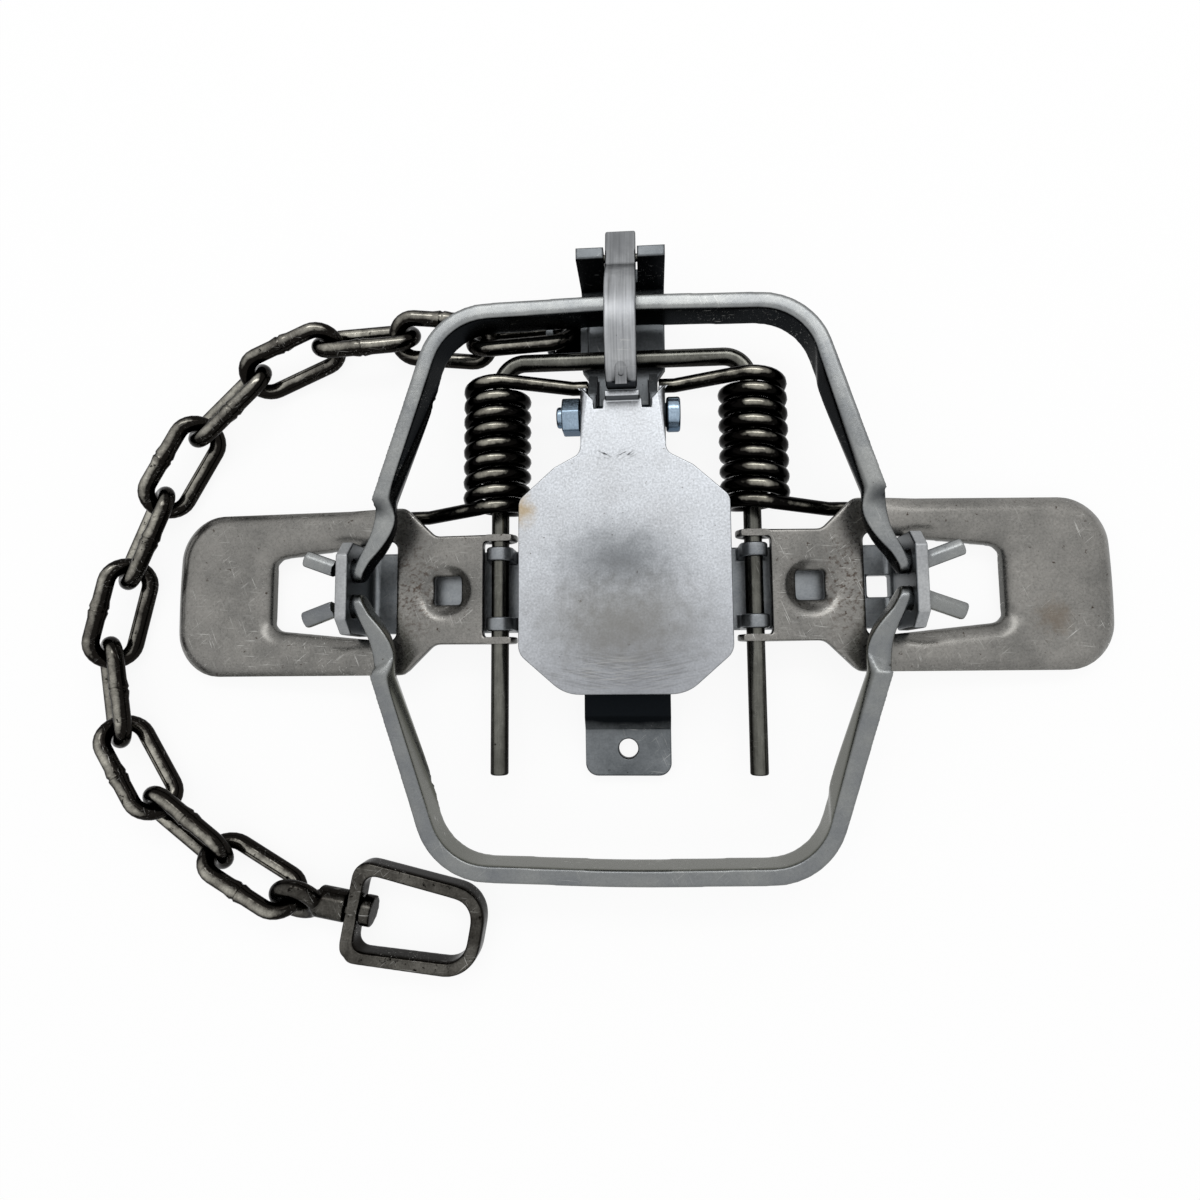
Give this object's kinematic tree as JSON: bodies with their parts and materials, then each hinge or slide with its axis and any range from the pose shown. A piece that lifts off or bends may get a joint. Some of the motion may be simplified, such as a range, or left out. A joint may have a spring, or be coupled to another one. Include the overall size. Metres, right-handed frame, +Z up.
{
  "type": "leghold trap",
  "caption": "Coil-spring foothold trap, set open: flat-bar jaws on a cross-shaped base, sheet levers on coil springs, a trigger pan held by a dog, and a welded chain ending in a swivel ring.",
  "frame": {"origin": "on the ground, under the middle of the base bar, where the two base strips cross", "axes": "+X along the base bar to the right lever, +Y along the cross piece to the dog post, +Z up"},
  "size_m": [0.2464, 0.1717, 0.0294],
  "materials": {
    "worn_steel": "worn, oiled bare steel",
    "pan_steel": "satin sheet with rub marks",
    "dark_steel": "oil-blackened wire",
    "zinc_plate": "bright zinc"
  },
  "bodies": {
    "base": {"base_bar": "worn_steel", "cross_piece": "worn_steel", "base_rivets": "worn_steel", "spring_rod": "dark_steel", "left_spring": "dark_steel", "right_spring": "dark_steel", "pan_bolt": "zinc_plate", "pan_nut": "zinc_plate", "dog_pin": "dark_steel"},
    "pan": {"pan": "pan_steel"},
    "dog": {"dog": "worn_steel"},
    "rear_jaw": {"rear_jaw": "worn_steel"},
    "front_jaw": {"front_jaw": "worn_steel"},
    "left_lever": {"left_lever": "worn_steel"},
    "right_lever": {"right_lever": "worn_steel"},
    "chain_link_01": {"chain_link_01": "dark_steel"},
    "chain_link_02": {"chain_link_02": "dark_steel"},
    "chain_link_03": {"chain_link_03": "dark_steel"},
    "chain_link_04": {"chain_link_04": "dark_steel"},
    "chain_link_05": {"chain_link_05": "dark_steel"},
    "chain_link_06": {"chain_link_06": "dark_steel"},
    "chain_link_07": {"chain_link_07": "dark_steel"},
    "chain_link_08": {"chain_link_08": "dark_steel"},
    "chain_link_09": {"chain_link_09": "dark_steel"},
    "chain_link_10": {"chain_link_10": "dark_steel"},
    "chain_link_11": {"chain_link_11": "dark_steel"},
    "chain_link_12": {"chain_link_12": "dark_steel"},
    "swivel_eye": {"swivel_eye": "dark_steel"},
    "swivel_ring": {"swivel_ring": "dark_steel"}
  },
  "joints": [
    {"name": "rear_jaw_hinge", "type": "hinge", "parent": "base", "child": "rear_jaw", "pos_m": [0, 0.0042, 0.0144], "axis": [1, 0, 0], "range_deg": [0, 88]},
    {"name": "front_jaw_hinge", "type": "hinge", "parent": "base", "child": "front_jaw", "pos_m": [0, -0.0042, 0.0144], "axis": [-1, 0, 0], "range_deg": [0, 92]},
    {"name": "dog_hinge", "type": "hinge", "parent": "base", "child": "dog", "pos_m": [0, 0.0755, 0.0187], "axis": [-1, 0, 0], "range_deg": [0, 198]},
    {"name": "left_lever_hinge", "type": "hinge", "parent": "base", "child": "left_lever", "pos_m": [-0.03, 0, 0.0078], "axis": [0, 1, 0], "range_deg": [0, 30], "deforming": ["left_spring"]},
    {"name": "right_lever_hinge", "type": "hinge", "parent": "base", "child": "right_lever", "pos_m": [0.03, 0, 0.0078], "axis": [0, -1, 0], "range_deg": [0, 30], "deforming": ["right_spring"]},
    {"name": "pan_hinge", "type": "hinge", "parent": "base", "child": "pan", "pos_m": [0, 0.04082, 0.0104], "axis": [1, 0, 0], "range_deg": [0, 4.5]},
    {"name": "chain_link_01_hinge", "type": "hinge", "parent": "base", "child": "chain_link_01", "pos_m": [-0.01545, 0.0636, 0.00563], "axis": [0, 0, -1], "range_deg": [-1, 0.3]},
    {"name": "chain_link_02_hinge", "type": "hinge", "parent": "chain_link_01", "child": "chain_link_02", "pos_m": [-0.03532, 0.06256, 0.00563], "axis": [0, 0, -1], "range_deg": [-1.5, 2]},
    {"name": "chain_link_03_hinge", "type": "hinge", "parent": "chain_link_02", "child": "chain_link_03", "pos_m": [-0.05511, 0.06464, 0.00563], "axis": [0, 0, -1], "range_deg": [0, 20]},
    {"name": "chain_link_04_hinge", "type": "hinge", "parent": "chain_link_03", "child": "chain_link_04", "pos_m": [-0.07499, 0.0636, 0.00563], "axis": [0, 0, -1], "range_deg": [0, 20]},
    {"name": "chain_link_05_hinge", "type": "hinge", "parent": "chain_link_04", "child": "chain_link_05", "pos_m": [-0.09317, 0.0555, 0.00563], "axis": [0, 0, -1], "range_deg": [0, 20]},
    {"name": "chain_link_06_hinge", "type": "hinge", "parent": "chain_link_05", "child": "chain_link_06", "pos_m": [-0.10724, 0.04143, 0.00563], "axis": [0, 0, -1], "range_deg": [0, 20]},
    {"name": "chain_link_07_hinge", "type": "hinge", "parent": "chain_link_06", "child": "chain_link_07", "pos_m": [-0.11689, 0.02403, 0.00563], "axis": [0, 0, -1], "range_deg": [0, 20]},
    {"name": "chain_link_08_hinge", "type": "hinge", "parent": "chain_link_07", "child": "chain_link_08", "pos_m": [-0.12434, 0.00558, 0.00563], "axis": [0, 0, -1], "range_deg": [0, 20]},
    {"name": "chain_link_09_hinge", "type": "hinge", "parent": "chain_link_08", "child": "chain_link_09", "pos_m": [-0.12848, -0.01389, 0.00563], "axis": [0, 0, -1], "range_deg": [0, 20]},
    {"name": "chain_link_10_hinge", "type": "hinge", "parent": "chain_link_09", "child": "chain_link_10", "pos_m": [-0.12502, -0.03349, 0.00563], "axis": [0, 0, -1], "range_deg": [0, 20]},
    {"name": "chain_link_11_hinge", "type": "hinge", "parent": "chain_link_10", "child": "chain_link_11", "pos_m": [-0.11448, -0.05036, 0.00563], "axis": [0, 0, -1], "range_deg": [0, 20]},
    {"name": "chain_link_12_hinge", "type": "hinge", "parent": "chain_link_11", "child": "chain_link_12", "pos_m": [-0.09858, -0.06234, 0.00563], "axis": [0, 0, -1], "range_deg": [0, 20]},
    {"name": "swivel_eye_hinge", "type": "hinge", "parent": "chain_link_12", "child": "swivel_eye", "pos_m": [-0.08135, -0.07229, 0.00563], "axis": [0, 0, -1], "range_deg": [-4, 20]},
    {"name": "swivel_spin", "type": "hinge", "parent": "swivel_eye", "child": "swivel_ring", "pos_m": [-0.06682, -0.07485, 0.0038], "axis": [0.9848, -0.1736, 0], "continuous": true}
  ],
  "couplings": [
    {"joint": "front_jaw_hinge", "follows": "rear_jaw_hinge", "ratio": 1.0454},
    {"joint": "dog_hinge", "follows": "rear_jaw_hinge", "ratio": 2.25},
    {"joint": "left_lever_hinge", "follows": "rear_jaw_hinge", "ratio": 0.34},
    {"joint": "right_lever_hinge", "follows": "rear_jaw_hinge", "ratio": 0.34}
  ]
}
